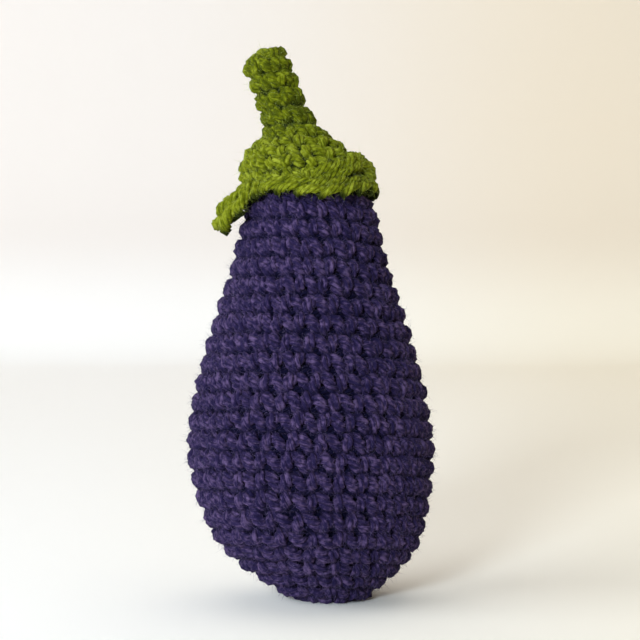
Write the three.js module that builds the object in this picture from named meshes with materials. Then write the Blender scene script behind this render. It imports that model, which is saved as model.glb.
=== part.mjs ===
// A crocheted toy eggplant, stuffed, standing on the flattened spot under its round base.
// Millimetres, +Z up, front towards -Y. The origin is the middle of the spot it stands on.
// Every skin is a stack of rings of points, sewn to one another, so that it closes on itself.
import * as THREE from "three";

// Stitches
const STITCH_WIDTH = 5.4; // one single crochet, along its round
const ROUND_PITCH = 4.45; // one round to the next, along the skin
const STITCH_SLANT = 0.25; // of a stitch: each round sits this far to the right of the one it is worked on
const FEWEST_STITCHES = 6; // in the ring that a piece starts from

// Fabric and stuffing
const WALL = 3.0; // thickness of the crocheted body
const CAP_WALL = 2.7; // thickness of the crocheted cap
const GAP = 0.4; // free space between neighbouring pieces
const CLOSING_HOLE = 1.3; // radius of the drawn-up hole at the top of the body

// Stance
const LEAN_BACK = THREE.MathUtils.degToRad(8); // the whole toy leans away from the front
const BASE_SHIFT = { x: 4.6, y: 4.2 }; // how far the base sits to the right of and behind the body's axis
const BASE_SHIFT_HEIGHT = 56; // height where that shift has died out
const REST_SPOT = { x: 4.6, y: 6.5 }; // middle of the spot it stands on, from the body's axis

// The stem bends to the left: no bend below BEND_START, straight again above BEND_END
const BEND_START = 84;
const BEND_END = 106;
const STEM_SLOPE = 0.36; // sideways travel for each millimetre of height above BEND_END
const TIP_START = 103.5; // the rounds are level below this height
const TIP_END = 115; // and square to the stem above this one

// Outlines as [radius, height], from the start of the crochet to its end, over the tops of the stitches
const BODY_OUTLINE = [
  [0, -1.7],
  [7.6, 0],
  [11.8, 2.6],
  [16.6, 6.3],
  [21.0, 10.6],
  [24.2, 15.2],
  [27.2, 25.5],
  [28.2, 36],
  [26.5, 48],
  [22.3, 63.5],
  [18.1, 77],
  [16.4, 84.5],
  [15.5, 88.6],
  [14.4, 91.4],
  [12.3, 93.2],
  [11.2, 95.4],
  [8.6, 98.8],
  [4.6, 100.9],
  [CLOSING_HOLE, 101.4],
];
const CAP_OUTLINE = [
  [0, 126.0],
  [4.6, 125.4],
  [5.7, 122.4],
  [5.3, 112.6],
  [6.5, 107.8],
  [10.9, 103.8],
  [14.2, 100.6],
  [15.3, 97.8],
  [15.3, 95.4],
];
const LAST_RELIEF_HEIGHT = 93; // the body's rounds above this are hidden by the cap and stay plain
const CAVITY_TOP = 104.6; // the cap is solid above this: the stem has no room inside
const RIM_HEIGHT = 94.4; // where the cap's edge lies on the body's shoulder

// Points of the cap's edge: where round the cap, how wide, how far they hang, how far they stand off
const LOBES = [
  { turn: 195, halfWidth: 32, length: 11.0, lift: 2.8 }, // left
  { turn: 125, halfWidth: 28, length: 8.4, lift: 1.4 }, // back left
  { turn: 58, halfWidth: 28, length: 7.6, lift: 1.2 }, // back right
  { turn: -34, halfWidth: 46, length: 3.6, lift: 1.0 }, // front right, short and curled up
  { turn: -80, halfWidth: 115, length: 5.0, lift: 0.4 }, // the whole front, which droops a little
];
const EDGE_LENGTH = 2.4; // how far the edge hangs between the points
const EDGE_SWELL = 0.3; // how far the edge stands out beyond the wall of the cap
const EDGE_ROLL = 1.2; // how far the rolled edge reaches below the last row
const EDGE_STITCHES = 24; // chains of the edge, worked all round it
const EDGE_SLANT = 0.35; // of a chain: how far its strands lean over from one ring to the next
const EDGE_GROOVE = 0.8; // depth of the grooves between the strands

// Relief of one stitch: each ring holds points as [place across the stitch, height above the outline].
// The two legs of the V start together over a hole and part; the loop below shows between the holes.
const STITCH_RINGS = [
  { up: 0.0, points: [[0, -2.0], [0.5, -0.5]] },
  { up: 0.3, points: [[0.02, -0.1], [0.5, -1.1]] },
  { up: 0.72, points: [[-0.28, 0], [-0.02, -0.9], [0.22, 0], [0.5, -0.8]] },
];
const INNER_SAMPLES = 24; // points round each ring of an inner surface
const INNER_STEP = 7; // between the rings of an inner surface, along the skin
const PLAIN_STEP = 4; // the same under the cap, where the skins are small and plain

const TURN = 2 * Math.PI;
const clamp01 = THREE.MathUtils.clamp;

// The middle of the toy at a height, and how far its cross-section is tipped there.
function spine(height) {
  const bent = clamp01(height, BEND_START, BEND_END) - BEND_START;
  const reach = BEND_END - BEND_START;
  const curved = (STEM_SLOPE * bent * bent) / (2 * reach);
  const straight = STEM_SLOPE * Math.max(0, height - BEND_END);
  const low = Math.max(0, 1 - Math.max(height, 0) / BASE_SHIFT_HEIGHT);
  return {
    x: BASE_SHIFT.x * low ** 3 - curved - straight,
    y: BASE_SHIFT.y * low ** 3,
    tip: Math.atan(STEM_SLOPE) * THREE.MathUtils.smoothstep(height, TIP_START, TIP_END),
  };
}

// An outline measured along its own length, with its outward normal.
function outlineCurve(points) {
  const curve = new THREE.SplineCurve(points.map(([r, h]) => new THREE.Vector2(r, h)));
  curve.arcLengthDivisions = 400;
  const length = curve.getLength();
  const rising = points[0][1] < points.at(-1)[1] ? 1 : -1;
  const at = (distance) => {
    const share = clamp01(distance / length, 0, 1);
    const point = curve.getPointAt(share);
    const along = curve.getTangentAt(share);
    return {
      radius: Math.max(point.x, 0),
      height: point.y,
      normal: new THREE.Vector2(along.y, -along.x).multiplyScalar(rising),
    };
  };
  return { length, at };
}

// How far along an outline a height is first reached, counting from its start.
function distanceAtHeight(outline, height) {
  const start = outline.at(0).height;
  const rising = outline.at(outline.length).height > start;
  for (let d = 0; d < outline.length; d += 0.1) {
    const h = outline.at(d).height;
    if (rising ? h >= height : h <= height) return d;
  }
  return outline.length;
}

// A point of the toy: a turn round its axis, a place on an outline and a height above that outline.
function skinPoint(place, turn, above, floor = 0) {
  const { x, y, tip } = spine(place.height);
  const radius = Math.max(place.radius + above * place.normal.x, 0);
  const rise = above * place.normal.y;
  const across = radius * Math.cos(turn * TURN);
  const point = new THREE.Vector3(
    x + across * Math.cos(tip) - rise * Math.sin(tip),
    y + radius * Math.sin(turn * TURN),
    place.height + across * Math.sin(tip) + rise * Math.cos(tip),
  );
  point.applyAxisAngle(new THREE.Vector3(1, 0, 0), -LEAN_BACK);
  point.x -= REST_SPOT.x;
  point.y -= REST_SPOT.y;
  point.z = Math.max(point.z, floor);
  return { turn, point };
}

// A ring of evenly spaced points at one height above an outline.
function plainRing(place, above, samples, floor = 0) {
  return Array.from({ length: samples }, (_, i) => skinPoint(place, i / samples, above, floor));
}

// The number of stitches in a round of this radius.
function stitchCount(radius) {
  return Math.max(FEWEST_STITCHES, Math.round((TURN * radius) / STITCH_WIDTH));
}

// The rings of every stitch of a crocheted skin, worked from the start of its outline to a distance.
// Seen the way it is worked, each round sits to the right of the last: way is 1 for work that goes up
// and -1 for work that goes down. The first round is drawn up tight and stays plain.
function stitchedRings(outline, end, way) {
  const rounds = Math.round(end / ROUND_PITCH);
  const pitch = end / rounds;
  const rings = [];
  let slant = 0;
  for (let round = 0; round < rounds; round++) {
    const count = stitchCount(outline.at((round + 0.6) * pitch).radius);
    for (const { up, points } of STITCH_RINGS) {
      if (round === 0 && up === 0) continue;
      const place = outline.at((round + up) * pitch);
      const ring = [];
      for (let stitch = 0; stitch < count; stitch++)
        for (const [across, above] of points) {
          const turn = way * (slant + (stitch + across + up * STITCH_SLANT) / count);
          ring.push(skinPoint(place, turn, round === 0 ? 0 : above));
        }
      rings.push(ring);
    }
    slant += STITCH_SLANT / count;
  }
  return rings;
}

// Plain rings between two distances along an outline.
function plainRings(outline, from, to, step, above, floor = 0) {
  const count = Math.max(1, Math.round(Math.abs(to - from) / step));
  return Array.from({ length: count + 1 }, (_, i) =>
    plainRing(outline.at(from + ((to - from) * i) / count), above, INNER_SAMPLES, floor),
  );
}

// Sews a stack of rings into one closed skin. The first and last rings are drawn in to a point.
function sewn(rings) {
  const positions = [];
  const faces = [];
  const sorted = rings.map((ring) => {
    const wrapped = ring.map(({ turn, point }) => ({ turn: turn - Math.floor(turn), point }));
    wrapped.sort((a, b) => a.turn - b.turn);
    return wrapped.map(({ turn, point }) => ({ turn, index: positions.push(point) - 1 }));
  });
  const pole = (ring) => {
    const middle = ring.reduce((sum, p) => sum.add(positions[p.index]), new THREE.Vector3());
    return positions.push(middle.divideScalar(ring.length)) - 1;
  };
  const first = sorted[0];
  const last = sorted.at(-1);
  const start = pole(first);
  const end = pole(last);
  first.forEach((p, i) => faces.push([start, first[(i + 1) % first.length].index, p.index]));
  for (let r = 1; r < sorted.length; r++) bridge(sorted[r - 1], sorted[r], faces);
  last.forEach((p, i) => faces.push([end, p.index, last[(i + 1) % last.length].index]));
  const geometry = new THREE.BufferGeometry();
  geometry.setAttribute(
    "position",
    new THREE.Float32BufferAttribute(positions.flatMap((p) => p.toArray()), 3),
  );
  geometry.setIndex(faces.flat());
  geometry.computeVertexNormals();
  return geometry;
}

// Fills the band between two rings with triangles, stepping round both by their turns.
function bridge(lower, upper, faces) {
  const turnOf = (ring, i) => ring[i % ring.length].turn + Math.floor(i / ring.length);
  let a = 0;
  let b = 0;
  while (a < lower.length || b < upper.length) {
    const stepLower = b >= upper.length || (a < lower.length && turnOf(lower, a + 1) < turnOf(upper, b + 1));
    const from = lower[a % lower.length].index;
    const to = upper[b % upper.length].index;
    if (stepLower) {
      faces.push([from, lower[(a + 1) % lower.length].index, to]);
      a++;
    } else {
      faces.push([from, upper[(b + 1) % upper.length].index, to]);
      b++;
    }
  }
}

const body = outlineCurve(BODY_OUTLINE);
const cap = outlineCurve(CAP_OUTLINE);
const rim = distanceAtHeight(body, RIM_HEIGHT);

// The purple bag: stitches outside, smooth inside, open only at the hole drawn up at its top.
function bodyCover() {
  const reliefEnd = distanceAtHeight(body, LAST_RELIEF_HEIGHT);
  const outside = [
    ...stitchedRings(body, reliefEnd, 1),
    ...plainRings(body, reliefEnd + 1, body.length, PLAIN_STEP, -0.3),
  ];
  const inside = plainRings(body, body.length - 1, 2, INNER_STEP, -WALL, WALL);
  return sewn([...outside, ...inside]);
}

// The fibre filling, a little smaller than the inside of the bag.
function stuffing() {
  const inset = WALL + GAP;
  return sewn(plainRings(body, 2, body.length - 1, INNER_STEP, -inset, inset).slice(0, -1));
}

// How far the cap's edge hangs at a turn, and how far it stands off the body there.
function edgeAt(turn) {
  let hang = EDGE_LENGTH;
  let lift = 0;
  for (const lobe of LOBES) {
    const away = Math.abs(((turn * 360 - lobe.turn + 540) % 360) - 180) / lobe.halfWidth;
    const share = Math.max(0, 1 - away);
    hang = Math.max(hang, lobe.length * share ** 0.6);
    lift = Math.max(lift, lobe.lift * share);
  }
  return { hang, lift };
}

// One ring of the cap's edge: a share of the way down its points, and an offset through its thickness.
// Ribbed rings stand on the strands of the chain, which lean to the left as they go down.
function edgeRing(share, through, { beyond = 0, ribbed = false, row = 0 } = {}) {
  return Array.from({ length: 2 * EDGE_STITCHES }, (_, i) => {
    const turn = (i / 2 - row * EDGE_SLANT) / EDGE_STITCHES;
    const { hang, lift } = edgeAt(turn);
    const place = body.at(rim - hang * share - beyond);
    const groove = ribbed && i % 2 === 0 ? EDGE_GROOVE : 0;
    return skinPoint(place, turn, GAP + through + lift * share * share - groove);
  });
}

// The green cap and stem, one piece of crochet, worked from the tip of the stem to the points of the cap.
function capAndStem() {
  const outside = stitchedRings(cap, cap.length, -1);
  const edge = [
    edgeRing(0.1, CAP_WALL, { ribbed: true, row: 0 }),
    edgeRing(0.4, CAP_WALL + EDGE_SWELL, { ribbed: true, row: 1 }),
    edgeRing(0.7, CAP_WALL + EDGE_SWELL, { ribbed: true, row: 2 }),
    edgeRing(0.95, CAP_WALL, { ribbed: true, row: 3 }),
    edgeRing(1, CAP_WALL / 2, { beyond: EDGE_ROLL, row: 4 }),
    edgeRing(1, 0),
    edgeRing(0.5, 0),
    edgeRing(0, 0),
  ];
  const cavityTop = distanceAtHeight(cap, CAVITY_TOP);
  const inside = plainRings(cap, cap.length - 0.5, cavityTop, PLAIN_STEP, -CAP_WALL);
  return sewn([...outside, ...edge, ...inside].reverse());
}

function yarn(colour) {
  return new THREE.MeshStandardMaterial({ color: colour, roughness: 0.95, metalness: 0 });
}

function piece(name, geometry, material) {
  const mesh = new THREE.Mesh(geometry, material);
  mesh.name = name;
  return mesh;
}

const toy = new THREE.Group();
toy.add(
  piece("body_cover", bodyCover(), yarn(0x3b3158)),
  piece("stuffing", stuffing(), yarn(0xf2f0ea)),
  piece("cap_and_stem", capAndStem(), yarn(0x6d7d1c)),
);

export default toy;
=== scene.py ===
"""A crocheted toy eggplant dressed in yarn: every stitch is plied strands that follow the rounds.

Lengths in the making are millimetres, and become metres when a mesh is made. Turns are whole turns round
the toy, anticlockwise from the right as seen from above. A distance is measured along a skin's outline.
"""

import math

import bpy
import numpy as np
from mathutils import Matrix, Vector


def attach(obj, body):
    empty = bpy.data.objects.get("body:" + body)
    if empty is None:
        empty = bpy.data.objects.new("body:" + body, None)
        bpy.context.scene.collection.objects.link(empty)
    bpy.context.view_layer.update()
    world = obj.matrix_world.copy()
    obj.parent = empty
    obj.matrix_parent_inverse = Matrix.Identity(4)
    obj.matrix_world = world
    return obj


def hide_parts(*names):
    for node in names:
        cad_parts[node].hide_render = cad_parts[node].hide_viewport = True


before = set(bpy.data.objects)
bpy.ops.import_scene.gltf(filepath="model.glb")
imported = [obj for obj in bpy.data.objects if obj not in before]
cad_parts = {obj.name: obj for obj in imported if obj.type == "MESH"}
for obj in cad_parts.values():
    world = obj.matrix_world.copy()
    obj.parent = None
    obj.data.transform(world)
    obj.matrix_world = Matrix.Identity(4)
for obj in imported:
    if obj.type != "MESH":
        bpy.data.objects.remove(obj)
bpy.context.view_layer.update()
rng = np.random.default_rng(7)

# The toy's form as radius and height, from the start of the crochet to its end
BODY_OUTLINE = [
    (0, -1.7),
    (7.6, 0),
    (11.8, 2.6),
    (16.6, 6.3),
    (21.0, 10.6),
    (24.2, 15.2),
    (27.2, 25.5),
    (28.2, 36),
    (26.5, 48),
    (22.3, 63.5),
    (18.1, 77),
    (16.4, 84.5),
    (15.5, 88.6),
    (14.4, 91.4),
    (12.3, 93.2),
    (11.2, 95.4),
    (8.6, 98.8),
    (4.6, 100.9),
    (1.3, 101.4),
]
CAP_OUTLINE = [  # up to a millimetre wider than its solid at the stem's foot
    (0, 126.0),
    (4.6, 125.4),
    (5.7, 122.4),
    (5.8, 112.8),
    (7.2, 107.6),
    (11.3, 104.0),
    (14.2, 100.6),
    (15.3, 97.8),
    (15.3, 95.4),
]
LEAN_BACK = math.radians(8)  # the whole toy leans away from the front
BASE_SHIFT = (4.6, 4.2)  # how far the base sits to the right of and behind the body's axis
BASE_SHIFT_HEIGHT = 56  # height where that shift has died out
REST_SPOT = (4.6, 6.5)  # middle of the spot it stands on, from the body's axis

# The stem bends to the left: no bend below BEND_START, straight again above BEND_END
BEND_START = 86
BEND_END = 108
STEM_SLOPE = 0.385  # sideways travel for each millimetre of height above BEND_END
TIP_START = 103.5  # the rounds are level below this height
TIP_END = 115  # and square to the stem above this one

# The cap's edge, which lies on the body's shoulder
GAP = 0.4  # free space between body and cap
CAP_WALL = 2.7
RIM_HEIGHT = 94.4
EDGE_LENGTH = 2.4  # how far the edge hangs below the last row, away from its points
LAST_ROW = CAP_OUTLINE[-1][1]  # height
# Points of the edge: turn and half width in degrees, how far they hang, how far they stand off
LOBES = [
    (195, 32, 11.0, 2.8),  # left
    (125, 28, 8.4, 1.4),  # back left
    (58, 28, 7.6, 1.2),  # back right
    (-34, 46, 3.6, 1.0),  # front right, short and curled up
    (-80, 115, 5.0, 0.4),  # the whole front, which droops a little
]

# Stitches
STITCH_WIDTH = 5.5
ROUND_PITCH = 4.5
CAP_ROW_PITCH = 4.0
SLANT = 0.25  # of a stitch, each round to the right of the one below
FEWEST_STITCHES = 6  # in a round
WIDTH_RANGE = (0.75, 1.15)  # how narrow and how wide a stitch may get, times the usual
START_TURN = 0.25  # the rounds start at the back
FIRST_ROUND = 2.2  # distance along the body
LAST_ROUND_HEIGHT = 96.5
FIRST_ROW = 0.7  # distance along the cap
UNDER_EDGE = [(17.5, 91.4), (18.8, 87.5), (19.8, 83)]  # where the cap's rows run on into its points
CHAIN_ROOM = 3.2  # what the chain takes up at the end of the cap's rows

# One stitch seen from outside, in millimetres from where its V comes out: right, along the work, outwards
LEFT_LEG = [
    (0.1, -0.85, -3.5),
    (-0.2, 0.2, -2.2),
    (-0.75, 1.1, -1.5),
    (-1.35, 1.95, -1.45),
    (-1.95, 2.75, -2.1),
    (-2.2, 3.45, -3.5),
]
RIGHT_LEG = [
    (1.15, -0.85, -3.5),
    (1.25, 0.2, -2.2),
    (1.5, 1.1, -1.5),
    (1.8, 1.95, -1.45),
    (2.0, 2.75, -2.1),
    (2.05, 3.45, -3.5),
]
FRONT_LOOP = [(0.5, -0.5, -3.5), (1.5, -0.2, -3.0), (2.75, 0.0, -2.8), (4.0, -0.2, -3.0), (5.0, -0.4, -3.5)]

# The same legs in the cap, rounder and closer
CAP_LEFT_LEG = [
    (0.1, -0.8, -3.4),
    (-0.2, 0.35, -2.2),
    (-0.75, 1.3, -1.2),
    (-1.35, 2.15, -1.3),
    (-1.85, 2.9, -2.3),
    (-2.05, 3.4, -3.6),
]
CAP_RIGHT_LEG = [
    (1.2, -0.8, -3.4),
    (1.3, 0.35, -2.2),
    (1.55, 1.3, -1.2),
    (1.8, 2.15, -1.3),
    (1.95, 2.9, -2.3),
    (2.05, 3.4, -3.6),
]

# One leg of the chain round the cap's edge: along the edge, up towards the cap, outwards
CHAIN_LEG = [(-0.9, -0.8, -1.7), (0.5, -0.55, -0.4), (2.6, 0.0, 0.0), (4.7, 0.5, -0.4), (6.1, 0.8, -1.7)]
CHAIN_PITCH = 4.7
STRAND_RISE = 1.15  # of the chain's upper strand above the edge's middle line, and of the lower one below it
EDGE_MIDDLE = -0.7  # of the chain, from where the edge ends, along the skin

# The chain round the curled-up point at the front right: turn in degrees, height, how far it stands out
FLAP = [
    (-92, 95.6, -0.9),
    (-74, 96.0, 0.0),
    (-56, 97.2, 0.5),
    (-40, 99.0, 0.6),
    (-26, 100.2, 0.7),
    (-15, 98.6, 0.8),
    (-13, 95.8, 0.7),
    (-24, 93.8, 0.4),
    (-38, 93.6, -0.5),
]
FLAP_RISES = (0.75, -0.9)

# Three strands drawn over the tip of the stem: where they start, and turn from there, distance, outwards
TIP_STARTS = (0.05, 0.21, 0.38)
TIP_STRAND = [(0.0, 3.6, -2.6), (0.0, 2.0, -1.1), (0.25, 0.15, -0.45), (0.5, 2.0, -1.1), (0.5, 3.6, -2.6)]

# Yarn
YARN_RADIUS = 1.52
CAP_YARN_RADIUS = 1.32
TIP_YARN_RADIUS = 1.25
CHAIN_YARN_RADIUS = 1.15
LOOP_THICKNESS = 0.8  # of the loop in front of a stitch, times the yarn's
PLIES = 4
PLY_SIDES = 4
PLY_ORBIT = 0.9  # how far out the plies lie, times where they would just touch
PLY_THICKNESS = (1.15, 0.07)  # times the ply that would just touch its neighbours: mean and spread
TWIST_PITCH = 6.5
BODY_LOOSENESS = 0.17  # how far a stitch's points stray
CAP_LOOSENESS = 0.25
CHAIN_LOOSENESS = 0.12
UNEVENNESS = 0.04  # of the yarn's thickness from stitch to stitch
TABLE = 0.02  # nothing of the yarn goes lower
STEM_TONE = -3.0  # added to the tint of the stem's yarn, which makes it darker
STEM_LENGTH = 27  # distance from the tip where that tone has died out
STEM_FADE = 8  # over this distance

# Pieces of the body by height, so that none gets too large
BANDS = [(-1, 22), (22, 45), (45, 70), (70, 200)]

# Surfaces just under the stitches, so that nothing shows through, in dark colours that are painted shade for
# the gaps between stitches
INNER_SIDES = 96
BODY_INNER_DEPTH = -3.1
CAP_INNER_DEPTH = -2.0
INNER_LOWEST = 0.3

# Loose fibres: how many, and how much longer than the shortest they usually are
BODY_FIBRES = (190000, 0.8)
CAP_FIBRES = (80000, 0.65)
SHORTEST_FIBRE = 0.3
LONGEST_FIBRE = 2.8
FIBRE_HALF_WIDTH = 0.03
FIBRE_LOWEST = 0.05
BODY_MIDDLE = (2, 2, 45)
FACING = 0.2  # the least that a fibre's root looks away from the body's middle, as a cosine

# Colours: painted shade where strands go between or under others, then dark, middle and light fibres
PURPLE = ((0.0018, 0.0014, 0.0145), (0.0062, 0.004, 0.0265), (0.0178, 0.0112, 0.0455), (0.084, 0.054, 0.128))
GREEN = ((0.0075, 0.012, 0.0003), (0.047, 0.06, 0.0005), (0.118, 0.138, 0.0013), (0.235, 0.265, 0.022))
RAMP_PLACES = (0.6, 0.79, 1.0)  # of dark, middle and light
# Dark colours of the surfaces under the stitches: painted shade seen through the gaps
PURPLE_PAINTED_SHADE = (0.0018, 0.0016, 0.014)
PURPLE_FIBRE = (0.082, 0.06, 0.145)
GREEN_PAINTED_SHADE = (0.01, 0.016, 0.0004)
GREEN_FIBRE = (0.30, 0.36, 0.05)
FILLING = (0.85, 0.84, 0.8)
MOTTLE = 0.15  # how much darker and lighter a plain surface gets

# Paper: axis, where the change starts and ends in metres, colour before and after it. The colours after are
# painted shade: darker and warmer up the wall and towards the right
PAPER_PAINTED_SHADE = [
    ("Z", 0.0, 0.07, (0.96, 0.96, 0.96), (0.775, 0.72, 0.685)),
    ("X", -0.1, 0.16, (1.0, 1.0, 1.0), (0.985, 0.93, 0.80)),
]
# The same paper's form in metres: its front end, where it starts to rise, the rise's radius, top, half width
PAPER_FRONT = -1.5
PAPER_DEPTH = 0.66
PAPER_CORNER = 0.12
PAPER_TOP = 2.5
PAPER_HALF_WIDTH = 2.5

# Lamps in metres and watts: name, place, aim, size, power, colour
LAMPS = [
    ("key", (-0.4, -1.36, 0.43), (0, 0, 0.05), (0.25, 0.25), 20, (0.78, 0.9, 1.0)),
    ("window", (-1.15, -0.5, 0.55), (0, 0, 0.03), (1.3, 1.1), 15, (0.9, 0.96, 1.0)),
    ("ceiling", (0, 0.3, 1.6), (0, 0.3, 0), (1.6, 1.6), 7, (1.0, 0.97, 0.92)),
]
ROOM_COLOUR = (1.0, 0.9, 0.76)
ROOM_STRENGTH = 0.26

# Camera, in metres
CAMERA_DISTANCE = 0.56
CAMERA_ELEVATION = math.radians(3.5)
CAMERA_AIM = (-0.00225, 0, 0.0636)
FILM_WIDTH = 36  # of the sensor, in millimetres
VIEW_WIDTH = 0.14545  # what the picture takes in at the toy


# Outlines and skins


class Outline:
    """A smooth curve through (radius, height) points, measured along its own length."""

    def __init__(self, points):
        p = np.array(points, float)
        t = np.linspace(0, 1, 4001) * (len(p) - 1)
        i = np.minimum(t.astype(int), len(p) - 2)
        w = (t - i)[:, None]
        before, start, end, after = p[np.maximum(i - 1, 0)], p[i], p[i + 1], p[np.minimum(i + 2, len(p) - 1)]
        v0, v1 = (end - before) / 2, (after - start) / 2
        cubic = (2 * start - 2 * end + v0 + v1) * w**3
        square = (3 * end - 3 * start - 2 * v0 - v1) * w**2
        q = cubic + square + v0 * w + start
        self.d = np.r_[0, np.cumsum(np.hypot(*np.diff(q, axis=0).T))]
        self.q = q
        along = np.gradient(q, self.d, axis=0)
        along /= np.linalg.norm(along, axis=1)[:, None]
        sign = 1 if p[0][1] < p[-1][1] else -1
        self.normal = sign * np.c_[along[:, 1], -along[:, 0]]
        self.length = self.d[-1]

    def at(self, d):
        """Radius, height and the outward normal's two parts."""
        return [np.interp(d, self.d, column) for column in (*self.q.T, *self.normal.T)]

    def distance(self, height):
        """How far along a rising outline a height is first reached."""
        return self.d[np.argmax(self.q[:, 1] >= height)]


body_line = Outline(BODY_OUTLINE)
cap_line = Outline(CAP_OUTLINE)
rows_line = Outline(CAP_OUTLINE + UNDER_EDGE)
rim_distance = body_line.distance(RIM_HEIGHT)


def smoothstep(k):
    return k * k * (3 - 2 * k)


def place(radius, height, nr, nh, turn, above, floor):
    """Points round the bent, leaning axis of the toy, raised above the outline along its normal."""
    bent = np.clip(height, BEND_START, BEND_END) - BEND_START
    reach = BEND_END - BEND_START
    low = np.maximum(0, 1 - np.maximum(height, 0) / BASE_SHIFT_HEIGHT)
    x = -STEM_SLOPE * (bent**2 / (2 * reach) + np.maximum(0, height - BEND_END))
    tip = math.atan(STEM_SLOPE) * smoothstep(np.clip((height - TIP_START) / (TIP_END - TIP_START), 0, 1))
    r = np.maximum(radius + above * nr, 0)
    rise = above * nh
    across = r * np.cos(turn * math.tau)
    px = BASE_SHIFT[0] * low**3 + x + across * np.cos(tip) - rise * np.sin(tip)
    py = BASE_SHIFT[1] * low**3 + r * np.sin(turn * math.tau)
    pz = height + across * np.sin(tip) + rise * np.cos(tip)
    qy = py * math.cos(LEAN_BACK) + pz * math.sin(LEAN_BACK)
    qz = -py * math.sin(LEAN_BACK) + pz * math.cos(LEAN_BACK)
    return np.stack([px - REST_SPOT[0], qy - REST_SPOT[1], np.maximum(qz, floor)], -1)


def body_skin(turn, d, above, floor=0.0):
    return place(*body_line.at(d), turn, above, floor)


def edge_at(turn):
    """How far the cap's edge hangs at a turn, and how far it stands off the body there."""
    hang = np.full(np.shape(turn), EDGE_LENGTH)
    lift = np.zeros(np.shape(turn))
    for middle, half, length, off in LOBES:
        away = np.abs((np.asarray(turn) * 360 - middle + 540) % 360 - 180) / half
        share = np.maximum(0, 1 - away)
        hang = np.maximum(hang, length * share**0.6)
        lift = np.maximum(lift, off * share)
    return hang, lift


def cap_skin(turn, d, above, floor=0.0):
    """The cap from the tip of the stem over its rows, then on down its edge and points."""
    on_cap = place(*cap_line.at(np.minimum(d, cap_line.length)), turn, above, floor)
    beyond = np.maximum(d - cap_line.length, 0)
    hang, lift = edge_at(turn)
    share = np.clip(beyond / hang, 0, 1.3)
    r, h, nr, nh = body_line.at(rim_distance - beyond)
    on_edge = place(r, h, nr, nh, turn, above + GAP + CAP_WALL + lift * share**2, floor)
    k = smoothstep(np.clip((d - cap_line.length + 1.2) / 2.4, 0, 1))[..., None]
    return on_cap * (1 - k) + on_edge * k


# Yarn


def smooth_path(points, samples):
    """Catmull-Rom through (elements, points, 3), sampled evenly."""
    p = np.concatenate([2 * points[:, :1] - points[:, 1:2], points, 2 * points[:, -1:] - points[:, -2:-1]], 1)
    n = points.shape[1] - 1
    t = np.linspace(0, n, samples)
    i = np.minimum(t.astype(int), n - 1)
    w = (t - i)[None, :, None]
    a, b, c, e = p[:, i], p[:, i + 1], p[:, i + 2], p[:, i + 3]
    return 0.5 * (2 * b + (c - a) * w + (2 * a - 5 * b + 4 * c - e) * w**2 + (3 * b - a - 3 * c + e) * w**3)


def frames_along(path):
    """Normals and binormals carried along each path without twisting."""
    tangent = np.gradient(path, axis=1)
    tangent /= np.linalg.norm(tangent, axis=2, keepdims=True) + 1e-9
    helper = np.where(np.abs(tangent[:, 0, 2:3]) < 0.8, [[0, 0, 1.0]], [[1.0, 0, 0]])
    n = helper - (helper * tangent[:, 0]).sum(1, keepdims=True) * tangent[:, 0]
    n /= np.linalg.norm(n, axis=1, keepdims=True)
    normals = [n]
    for k in range(1, path.shape[1]):
        n = n - (n * tangent[:, k]).sum(1, keepdims=True) * tangent[:, k]
        n /= np.linalg.norm(n, axis=1, keepdims=True)
        normals.append(n)
    normals = np.stack(normals, 1)
    return normals, np.cross(tangent, normals)


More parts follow.
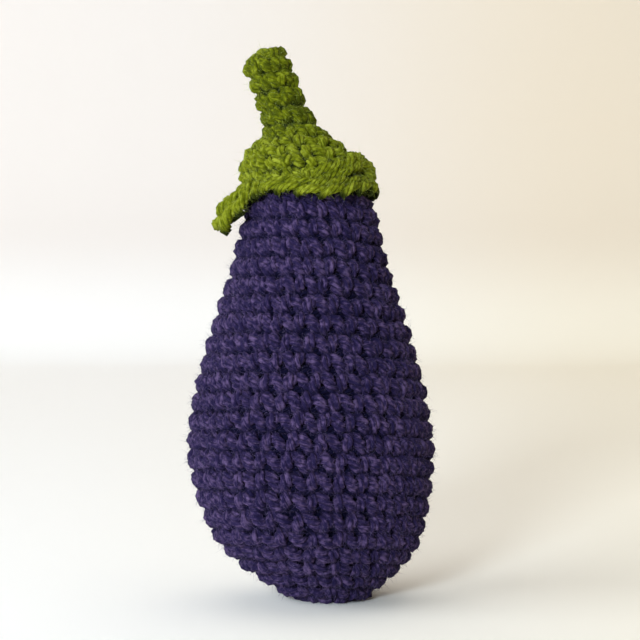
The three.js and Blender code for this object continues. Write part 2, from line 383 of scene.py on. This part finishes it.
class Yarn:
    """Collects plied strands and turns them into one mesh."""

    def __init__(self):
        self.parts = []

    def add(self, path, depth, radius, tone=0.0):
        """path is (elements, samples, 3); depth (elements, samples) is 1 where it goes under others, and
        marks where shade is painted into its colour.
        """
        e, s, _ = path.shape
        radius = np.broadcast_to(np.asarray(radius, float), (e,))
        n, b = frames_along(path)
        step = np.linalg.norm(np.diff(path, axis=1), axis=2)
        length = np.concatenate([np.zeros((e, 1)), np.cumsum(step, 1)], 1)
        start = rng.uniform(0, math.tau, (e, 1))
        ply_radius = radius / (1 + 1 / math.sin(math.pi / PLIES))
        orbit = (radius - ply_radius) * PLY_ORBIT
        for ply in range(PLIES):
            phase = start - math.tau * length / TWIST_PITCH + math.tau * ply / PLIES
            outwards = np.cos(phase)[..., None] * n + np.sin(phase)[..., None] * b
            centre = path + outwards * orbit[:, None, None]
            thick = ply_radius[:, None] * rng.normal(*PLY_THICKNESS, (e, 1))
            around = np.arange(PLY_SIDES) / PLY_SIDES * math.tau
            angle = phase[..., None] + around
            ring = centre[:, :, None] + thick[..., None, None] * (
                np.cos(angle)[..., None] * n[:, :, None] + np.sin(angle)[..., None] * b[:, :, None]
            )
            ring[..., 2] = np.maximum(ring[..., 2], TABLE)
            self.parts.append((ring, length + rng.uniform(0, 400, (e, 1)), rng.normal(0, 1, e) + tone, depth))

    def arrays(self):
        """All vertices, quads, face-corner UVs, a random number per face and a depth per vertex, which sets
        the painted shade.
        """
        verts, quads, uvs, tints, depths = [], [], [], [], []
        base = 0
        for ring, length, tint, depth in self.parts:
            e, s, m, _ = ring.shape
            index = base + np.arange(e * s * m).reshape(e, s, m)
            nxt = np.roll(index, -1, axis=2)
            quad = np.stack([index[:, :-1], nxt[:, :-1], nxt[:, 1:], index[:, 1:]], -1)
            v = np.arange(m) / m
            low = np.broadcast_to(v, (e, s - 1, m))
            high = low + 1 / m
            here = np.broadcast_to(length[:, :-1, None], low.shape)
            there = np.broadcast_to(length[:, 1:, None], low.shape)
            corners = [(here, low), (here, high), (there, high), (there, low)]
            uv = np.stack([np.stack(corner, -1) for corner in corners], -2)
            verts.append(ring.reshape(-1, 3))
            quads.append(quad.reshape(-1, 4))
            uvs.append(uv.reshape(-1, 2))
            tints.append(np.broadcast_to(tint[:, None, None], low.shape).reshape(-1))
            depths.append(np.repeat(depth[..., None], m, -1).reshape(-1))
            base += e * s * m
        return [np.concatenate(x) for x in (verts, quads, uvs, tints, depths)]


# Meshes


def make_mesh(name, verts, faces, material, uv=None, tint=None, depth=None, smooth=True):
    """A mesh object from arrays in millimetres; faces all have the same number of corners."""
    me = bpy.data.meshes.new(name)
    corners = faces.shape[1]
    me.vertices.add(len(verts))
    me.vertices.foreach_set("co", (verts * 0.001).astype(np.float32).ravel())
    me.loops.add(faces.size)
    me.loops.foreach_set("vertex_index", faces.astype(np.int32).ravel())
    me.polygons.add(len(faces))
    me.polygons.foreach_set("loop_start", np.arange(0, faces.size, corners, dtype=np.int32))
    me.update(calc_edges=True)
    me.polygons.foreach_set("use_smooth", np.full(len(faces), smooth))
    if uv is not None:
        layer = me.uv_layers.new(name="yarn")
        layer.data.foreach_set("uv", uv.astype(np.float32).ravel())
    if tint is not None:
        a = me.attributes.new("tint", "FLOAT", "FACE")
        a.data.foreach_set("value", tint.astype(np.float32))
    if depth is not None:
        a = me.attributes.new("depth", "FLOAT", "POINT")
        a.data.foreach_set("value", depth.astype(np.float32))
    me.validate()
    ob = bpy.data.objects.new(name, me)
    bpy.context.collection.objects.link(ob)
    me.materials.append(material)
    return ob


def closed_face(name, rings, material):
    """A plain surface through rings of points."""
    points = np.concatenate(rings)
    i = np.arange(len(points)).reshape(len(rings), -1)
    nxt = np.roll(i, -1, axis=1)
    quads = np.stack([i[:-1], nxt[:-1], nxt[1:], i[1:]], -1).reshape(-1, 4)
    return make_mesh(name, points, quads, material)


def face_normals(corners):
    return np.cross(corners[:, 2] - corners[:, 0], corners[:, 3] - corners[:, 1])


def facing_out(verts, quads, middle):
    """The faces of the yarn that look away from a point inside the part."""
    corners = verts[quads]
    normal = face_normals(corners)
    outwards = corners.mean(1) - np.array(middle, float)
    lengths = np.linalg.norm(normal, axis=1) * np.linalg.norm(outwards, axis=1)
    return quads[(normal * outwards).sum(1) > FACING * lengths]


def fuzz(name, verts, quads, count, typical, material):
    """Loose fibre ends that stand off the yarn, each one a long thin triangle."""
    pick = rng.integers(0, len(quads), count)
    corners = verts[quads[pick]]
    normal = face_normals(corners)
    normal /= np.linalg.norm(normal, axis=1, keepdims=True) + 1e-9
    along = corners[:, 3] - corners[:, 0]
    along /= np.linalg.norm(along, axis=1, keepdims=True) + 1e-9
    heading = normal * rng.uniform(0.25, 1.0, (count, 1)) + along * rng.normal(0, 0.8, (count, 1))
    heading += rng.normal(0, 0.45, (count, 3))
    heading /= np.linalg.norm(heading, axis=1, keepdims=True)
    length = np.minimum(rng.exponential(typical, count) + SHORTEST_FIBRE, LONGEST_FIBRE)[:, None]
    side = np.cross(heading, rng.normal(0, 1, (count, 3)))
    side /= np.linalg.norm(side, axis=1, keepdims=True) + 1e-9
    root = corners.mean(1)
    half = side * FIBRE_HALF_WIDTH
    ends = np.stack([root - half, root + half, root + heading * length], 1)
    ends[..., 2] = np.maximum(ends[..., 2], FIBRE_LOWEST)
    faces = np.arange(count * 3).reshape(count, 3)
    return make_mesh(name, ends.reshape(-1, 3), faces, material, smooth=False)


# Stitches in rounds, and chains


def how_deep(above):
    """0 for yarn at the surface, 1 for yarn between or under other strands: the mask of the shade painted
    into the yarn's colour.
    """
    return smoothstep(np.clip((-1.6 - above) / 1.0, 0, 1))


def round_plan(line, first, last, pitch):
    """Worked turn, distance and stitch width of every stitch, each set over one in the round before."""
    rounds = round((last - first) / pitch)
    pitch = (last - first) / rounds
    turns, counts = [], []
    for r in range(rounds):
        radius = line.at(first + (r + 0.6) * pitch)[0]
        n = max(FEWEST_STITCHES, round(math.tau * radius / STITCH_WIDTH))
        if r == 0:
            w = np.arange(n) / n
        else:
            old, m = turns[-1], counts[-1]
            parent = np.floor((np.arange(n) + 0.5) * m / n).astype(int)
            share = (np.arange(n) + 0.5) * m / n - parent - 0.5
            w = old[parent] + share / m * 0.6 + 1 - SLANT / m
        turns.append(w)
        counts.append(n)

    # Even out the steps from stitch to stitch, with both ends where they were
    flat = np.concatenate(turns)
    fixed = flat.copy()
    for _ in range(6):
        flat[1:-1] = 0.4 * flat[1:-1] + 0.3 * (flat[:-2] + flat[2:])
    flat[0], flat[-1] = fixed[0], fixed[-1]
    gap = np.gradient(flat)
    d = first + pitch * flat
    return flat, d, gap


def wobble(points, count, amount):
    """Control points for count stitches, each a little different."""
    p = np.repeat(np.array(points, float)[None], count, 0)
    whole = rng.normal(0, amount, (count, 1, 3)) * [1, 1, 0.6]
    return p + whole + rng.normal(0, amount * 0.6, p.shape) * [1, 1, 0.5]


def even_tone(d):
    return np.zeros_like(d)


def stem_tone(d):
    """A darker tone on the stem, which dies out towards the cap."""
    return STEM_TONE * np.clip((STEM_LENGTH - d) / STEM_FADE, 0, 1)


def every_stitch(turn, d):
    return np.full(len(d), True)


def above_chain(turn, d):
    """Which stitches of the cap and its points fit above the chain."""
    return d + CHAIN_ROOM < cap_line.length + edge_at(turn)[0]


def stitch_rounds(skin, line, rows, way, legs, radius, loose, keep=every_stitch, tone=even_tone):
    """Yarn of a spiral of single crochet on a skin.

    rows are the first distance, the last one and the pitch.
    way is 1 where the work goes up, -1 where it goes down.
    """
    first, last, pitch = rows
    w, d, gap = round_plan(line, first, last, pitch)
    chosen = keep(START_TURN - way * w, d)
    w, d, gap = w[chosen], d[chosen], gap[chosen]
    n = len(w)
    round_length = math.tau * np.maximum(line.at(d)[0], 2.0)
    width = gap * round_length / STITCH_WIDTH
    yarn = Yarn()
    for shape, samples, thick in ((legs[0], 10, 1), (legs[1], 10, 1), (FRONT_LOOP, 7, LOOP_THICKNESS)):
        cells = wobble(shape, n, loose)
        path = smooth_path(cells, samples)
        across = path[..., 0] * np.clip(width, *WIDTH_RANGE)[:, None]
        turn = START_TURN - way * w[:, None] + way * across / round_length[:, None]
        along = d[:, None] + path[..., 1] * pitch / ROUND_PITCH - across / STITCH_WIDTH * 0.1
        points = skin(turn, along, path[..., 2])
        # how_deep marks where shade is painted into the stitches' yarn
        yarn.add(points, how_deep(path[..., 2]), thick * radius * rng.normal(1, UNEVENNESS, n), tone(d))
    return yarn


def chain(yarn, turn, d, above, rise, closed, swell):
    """One strand of a chain laid along a line on the cap, given by many turns, distances and heights."""
    line = cap_skin(turn, d, above)
    out = cap_skin(turn, d, above + 1.0) - line
    along = np.gradient(line, axis=0)
    up = np.cross(out, along)
    up /= np.linalg.norm(up, axis=1)[:, None]
    s = np.r_[0, np.cumsum(np.linalg.norm(np.diff(line, axis=0), axis=1))]
    total = s[-1]
    legs = round(total / CHAIN_PITCH)
    starts = (np.arange(legs) + (0.5 if rise < 0 else 0.0)) * total / legs
    path = smooth_path(wobble(CHAIN_LEG, legs, CHAIN_LOOSENESS), 12)
    where = starts[:, None] + path[..., 0]
    where = where % total if closed else np.clip(where, 0, total)
    axes = [np.stack([np.interp(where, s, column) for column in a.T], -1) for a in (line, up, out)]
    thick = np.interp(where, s, swell)
    lift = (path[..., 1] + rise) * thick
    points = axes[0] + axes[1] * lift[..., None] + axes[2] * path[..., 2:3]
    radius = CHAIN_YARN_RADIUS * thick.mean(1) * rng.normal(1, UNEVENNESS, legs)
    # Painted shade where the chain's legs dive under
    yarn.add(points, how_deep(path[..., 2] - 1.2), radius)


# Materials


def new_material(name, roughness):
    """A material with its nodes, its links and its shader."""
    m = bpy.data.materials.new(name)
    m.use_nodes = True
    shader = m.node_tree.nodes["Principled BSDF"]
    shader.inputs["Roughness"].default_value = roughness
    return m, m.node_tree.nodes, m.node_tree.links, shader


def noise_node(nodes, scale, detail):
    noise = nodes.new("ShaderNodeTexNoise")
    noise.inputs["Scale"].default_value = scale
    noise.inputs["Detail"].default_value = detail
    return noise


def math_node(nodes, operation, factor):
    node = nodes.new("ShaderNodeMath")
    node.operation = operation
    node.inputs[1].default_value = factor
    return node


def attribute_node(nodes, name):
    node = nodes.new("ShaderNodeAttribute")
    node.attribute_name = name
    return node


def yarn_material(name, painted_shade_colour, dark, middle, light):
    """Heathered yarn: streaks of lighter and darker fibres along each ply, with shade painted in where a
    strand goes between or under others.
    """
    m, nodes, links, shader = new_material(name, 0.88)
    shader.inputs["Specular IOR Level"].default_value = 0.1
    shader.inputs["Sheen Weight"].default_value = 0.18
    shader.inputs["Sheen Roughness"].default_value = 0.55
    shader.inputs["Sheen Tint"].default_value = (*light, 1)

    # Streaks along the plies
    uv = nodes.new("ShaderNodeUVMap")
    uv.uv_map = "yarn"
    stretch = nodes.new("ShaderNodeMapping")
    stretch.inputs["Scale"].default_value = (0.55, 5.0, 1)
    links.new(uv.outputs["UV"], stretch.inputs["Vector"])
    streaks = noise_node(nodes, 1.6, 3.0)
    streaks.inputs["Roughness"].default_value = 0.65
    links.new(stretch.outputs["Vector"], streaks.inputs["Vector"])

    # Mottling
    where = nodes.new("ShaderNodeTexCoord")
    patches = noise_node(nodes, 900.0, 4.0)
    links.new(where.outputs["Object"], patches.inputs["Vector"])

    # Both, with each strand's own tint, on one ramp of colours
    tint = attribute_node(nodes, "tint")
    own = math_node(nodes, "MULTIPLY", 0.035)
    links.new(tint.outputs["Fac"], own.inputs[0])
    weigh = math_node(nodes, "MULTIPLY_ADD", 0.7)
    links.new(streaks.outputs["Fac"], weigh.inputs[0])
    links.new(own.outputs["Value"], weigh.inputs[2])
    mix = math_node(nodes, "MULTIPLY_ADD", 0.9)
    links.new(patches.outputs["Fac"], mix.inputs[0])
    links.new(weigh.outputs["Value"], mix.inputs[2])
    ramp = nodes.new("ShaderNodeValToRGB")
    ramp.color_ramp.elements[0].position = RAMP_PLACES[0]
    ramp.color_ramp.elements[0].color = (*dark, 1)
    ramp.color_ramp.elements[1].position = RAMP_PLACES[2]
    ramp.color_ramp.elements[1].color = (*light, 1)
    between = ramp.color_ramp.elements.new(RAMP_PLACES[1])
    between.color = (*middle, 1)
    links.new(mix.outputs["Value"], ramp.inputs["Fac"])

    # Painted shade: a dark colour where a strand goes between or under others
    depth = attribute_node(nodes, "depth")
    shade = nodes.new("ShaderNodeMix")
    shade.data_type = "RGBA"
    shade.inputs["B"].default_value = (*painted_shade_colour, 1)
    links.new(depth.outputs["Fac"], shade.inputs["Factor"])
    links.new(ramp.outputs["Color"], shade.inputs["A"])
    links.new(shade.outputs["Result"], shader.inputs["Base Color"])

    # The streaks again as relief
    bump = nodes.new("ShaderNodeBump")
    bump.inputs["Strength"].default_value = 0.55
    bump.inputs["Distance"].default_value = 0.00025
    links.new(streaks.outputs["Fac"], bump.inputs["Height"])
    links.new(bump.outputs["Normal"], shader.inputs["Normal"])
    return m


def plain_material(name, colour, roughness=0.9, sheen=0.0):
    """A matte surface with a faint mottling."""
    m, nodes, links, shader = new_material(name, roughness)
    shader.inputs["Specular IOR Level"].default_value = 0.1
    shader.inputs["Sheen Weight"].default_value = sheen
    where = nodes.new("ShaderNodeTexCoord")
    noise = nodes.new("ShaderNodeTexNoise")
    noise.inputs["Scale"].default_value = 300.0
    links.new(where.outputs["Object"], noise.inputs["Vector"])
    ramp = nodes.new("ShaderNodeValToRGB")
    ramp.color_ramp.elements[0].color = (*[c * (1 - MOTTLE) for c in colour], 1)
    ramp.color_ramp.elements[1].color = (*[min(1, c * (1 + MOTTLE)) for c in colour], 1)
    links.new(noise.outputs["Fac"], ramp.inputs["Fac"])
    links.new(ramp.outputs["Color"], shader.inputs["Base Color"])
    return m


def paper_material():
    """White paper on the floor, with painted shade that makes it darker and warmer up the wall and towards
    the right, with no edge between.
    """
    m, nodes, links, shader = new_material("paper", 0.95)
    where = nodes.new("ShaderNodeTexCoord")
    split = nodes.new("ShaderNodeSeparateXYZ")
    links.new(where.outputs["Object"], split.inputs["Vector"])
    colour = None
    # Each span blends the paper's white into painted shade
    for axis, start, end, low, high in PAPER_PAINTED_SHADE:
        span = nodes.new("ShaderNodeMapRange")
        span.interpolation_type = "SMOOTHSTEP"
        span.inputs["From Min"].default_value = start
        span.inputs["From Max"].default_value = end
        links.new(split.outputs[axis], span.inputs["Value"])
        tone = nodes.new("ShaderNodeMix")
        tone.data_type = "RGBA"
        tone.inputs["A"].default_value = (*low, 1)
        tone.inputs["B"].default_value = (*high, 1)
        links.new(span.outputs["Result"], tone.inputs["Factor"])
        if colour is None:
            colour = tone.outputs["Result"]
            continue
        both = nodes.new("ShaderNodeMix")
        both.data_type = "RGBA"
        both.blend_type = "MULTIPLY"
        both.inputs["Factor"].default_value = 1.0
        links.new(colour, both.inputs["A"])
        links.new(tone.outputs["Result"], both.inputs["B"])
        colour = both.outputs["Result"]
    links.new(colour, shader.inputs["Base Color"])
    return m


# The purple body


def dress(pieces, node):
    for ob in pieces:
        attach(ob, "root")
        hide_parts(node)


def inner_ring(skin, d, depth, floor):
    """One ring of the surface just under the stitches."""
    around = np.arange(INNER_SIDES) / INNER_SIDES
    return skin(around, np.full(INNER_SIDES, d), depth, floor)


def dress_body():
    """The rounds of stitches in bands, their loose fibres and the surface under them."""
    yarn_look = yarn_material("purple_yarn", *PURPLE)
    # Painted shade: the dark surface under the stitches, seen through the gaps
    painted_shade_look = plain_material("purple_painted_shade", PURPLE_PAINTED_SHADE)
    fibre_look = plain_material("purple_fibres", PURPLE_FIBRE, roughness=0.8, sheen=0.15)
    rows = (FIRST_ROUND, body_line.distance(LAST_ROUND_HEIGHT), ROUND_PITCH)
    legs = (LEFT_LEG, RIGHT_LEG)
    yarn = stitch_rounds(body_skin, body_line, rows, 1, legs, YARN_RADIUS, BODY_LOOSENESS)
    verts, quads, uvs, tints, depths = yarn.arrays()
    heights = verts[quads].mean(1)[:, 2]
    corner_uvs = uvs.reshape(-1, 4, 2)
    pieces = []
    for number, (low, high) in enumerate(BANDS, 1):
        chosen = (heights >= low) & (heights < high)
        used, back = np.unique(quads[chosen], return_inverse=True)
        uv = corner_uvs[chosen].reshape(-1, 2)
        faces = back.reshape(-1, 4)
        name = f"body_rounds_{number}"
        pieces.append(make_mesh(name, verts[used], faces, yarn_look, uv, tints[chosen], depths[used]))
    outer = facing_out(verts, quads, BODY_MIDDLE)
    pieces.append(fuzz("body_fibres", verts, outer, *BODY_FIBRES, fibre_look))
    distances = np.linspace(0.5, body_line.length, 120)
    rings = [inner_ring(body_skin, d, BODY_INNER_DEPTH, INNER_LOWEST) for d in distances]
    pieces.append(closed_face("body_inner_face", rings, painted_shade_look))
    dress(pieces, "body_cover")


# The green cap and stem


def strands_over_tip(yarn):
    points = [[(turn + start, d, above) for turn, d, above in TIP_STRAND] for start in TIP_STARTS]
    tips = np.array(points)
    paths = smooth_path(cap_skin(tips[..., 0], tips[..., 1], tips[..., 2]), 14)
    yarn.add(paths, np.zeros(paths.shape[:2]), TIP_YARN_RADIUS)


def chain_round_edge(yarn):
    """The chain of two strands along the whole edge and its points, thicker where it hangs far."""
    turn = np.linspace(0, 1, 1441)
    hang = edge_at(turn)[0]
    window = np.hanning(49) / np.hanning(49).sum()
    hang = np.convolve(np.r_[hang[-25:-1], hang, hang[1:25]], window, "valid")
    swell = 1 + 0.08 * np.maximum(hang - 5, 0)
    above = 0.3 * np.clip((hang - 4.5) / 3, 0, 1) - 0.7
    for rise in (STRAND_RISE, -STRAND_RISE):
        chain(yarn, turn, cap_line.length + hang + EDGE_MIDDLE, above, rise, True, swell)


def chain_round_flap(yarn):
    """The chain of the curled-up point."""
    flap = smooth_path(np.array(FLAP, float)[None], 400)[0][::-1]
    on_rows = np.interp(-flap[:, 1], -cap_line.q[:, 1], cap_line.d)
    d = on_rows + np.maximum(LAST_ROW - flap[:, 1], 0)
    for rise in FLAP_RISES:
        chain(yarn, flap[:, 0] / 360, d, flap[:, 2] - 0.7, rise, False, np.ones(len(flap)))


def dress_cap():
    """The rows of stitches from the stem's tip down, the chains, loose fibres and the surface under them."""
    yarn_look = yarn_material("green_yarn", *GREEN)
    # Painted shade: the dark surface under the stitches, seen through the gaps
    painted_shade_look = plain_material("green_painted_shade", GREEN_PAINTED_SHADE)
    fibre_look = plain_material("green_fibres", GREEN_FIBRE, roughness=0.7, sheen=0.3)
    rows = (FIRST_ROW, rows_line.length - 1, CAP_ROW_PITCH)
    legs = (CAP_LEFT_LEG, CAP_RIGHT_LEG)
    yarn = stitch_rounds(
        cap_skin, rows_line, rows, -1, legs, CAP_YARN_RADIUS, CAP_LOOSENESS, keep=above_chain, tone=stem_tone
    )
    strands_over_tip(yarn)
    chain_round_edge(yarn)
    chain_round_flap(yarn)
    verts, quads, uvs, tints, depths = yarn.arrays()
    pieces = [make_mesh("cap_rounds", verts, quads, yarn_look, uvs, tints, depths)]
    pieces.append(fuzz("cap_fibres", verts, quads, *CAP_FIBRES, fibre_look))
    last = cap_line.length - 1
    rings = [inner_ring(cap_skin, d, CAP_INNER_DEPTH, INNER_LOWEST) for d in np.linspace(0.5, last, 50)]
    reach = edge_at(np.arange(INNER_SIDES) / INNER_SIDES)[0]
    for share in np.linspace(0, 1, 8):
        rings.append(inner_ring(cap_skin, last + (reach - 0.3) * share, CAP_INNER_DEPTH, 0.0))
    pieces.append(closed_face("cap_inner_face", rings, painted_shade_look))
    dress(pieces, "cap_and_stem")


def show_stuffing():
    """The stuffing is the solid itself, in its own material."""
    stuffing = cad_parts["stuffing"]
    stuffing.data.materials.clear()
    stuffing.data.materials.append(plain_material("fibre_filling", FILLING, roughness=1.0))


# Floor and wall, light and camera


def lay_paper():
    """Floor and wall in one sweep."""
    profile = [(PAPER_FRONT, 0.0)] + [(PAPER_DEPTH * k / 12, 0.0) for k in range(13)]
    for a in np.linspace(0.1, math.pi / 2, 14):
        profile.append((PAPER_DEPTH + PAPER_CORNER * math.sin(a), PAPER_CORNER * (1 - math.cos(a))))
    profile.append((PAPER_DEPTH + PAPER_CORNER, PAPER_TOP))
    sides = (-PAPER_HALF_WIDTH, PAPER_HALF_WIDTH)
    verts = np.array([(x, y, z) for y, z in profile for x in sides]) * 1000
    faces = np.array([(2 * k, 2 * k + 1, 2 * k + 3, 2 * k + 2) for k in range(len(profile) - 1)])
    make_mesh("backdrop", verts, faces, paper_material())


def hang_lamps():
    for name, place_at, aim, size, power, colour in LAMPS:
        data = bpy.data.lights.new(name, "AREA")
        data.shape = "RECTANGLE"
        data.size, data.size_y = size
        data.energy = power
        data.color = colour
        ob = bpy.data.objects.new(name, data)
        bpy.context.collection.objects.link(ob)
        ob.location = place_at
        ob.rotation_euler = (Vector(aim) - Vector(place_at)).to_track_quat("-Z", "Y").to_euler()
    world = bpy.data.worlds.new("room")
    bpy.context.scene.world = world
    world.use_nodes = True
    background = world.node_tree.nodes["Background"]
    background.inputs["Color"].default_value = (*ROOM_COLOUR, 1)
    background.inputs["Strength"].default_value = ROOM_STRENGTH


def set_camera():
    data = bpy.data.cameras.new("camera")
    camera = bpy.data.objects.new("camera", data)
    bpy.context.collection.objects.link(camera)
    data.sensor_width = FILM_WIDTH
    data.lens = FILM_WIDTH * CAMERA_DISTANCE / VIEW_WIDTH
    data.clip_start = 0.01
    towards = Vector((0, -math.cos(CAMERA_ELEVATION), math.sin(CAMERA_ELEVATION)))
    camera.location = Vector(CAMERA_AIM) + towards * CAMERA_DISTANCE
    camera.rotation_euler = (-towards).to_track_quat("-Z", "Y").to_euler()
    bpy.context.scene.camera = camera
    bpy.context.scene.view_settings.view_transform = "Standard"


dress_body()
dress_cap()
show_stuffing()
lay_paper()
hang_lamps()
set_camera()
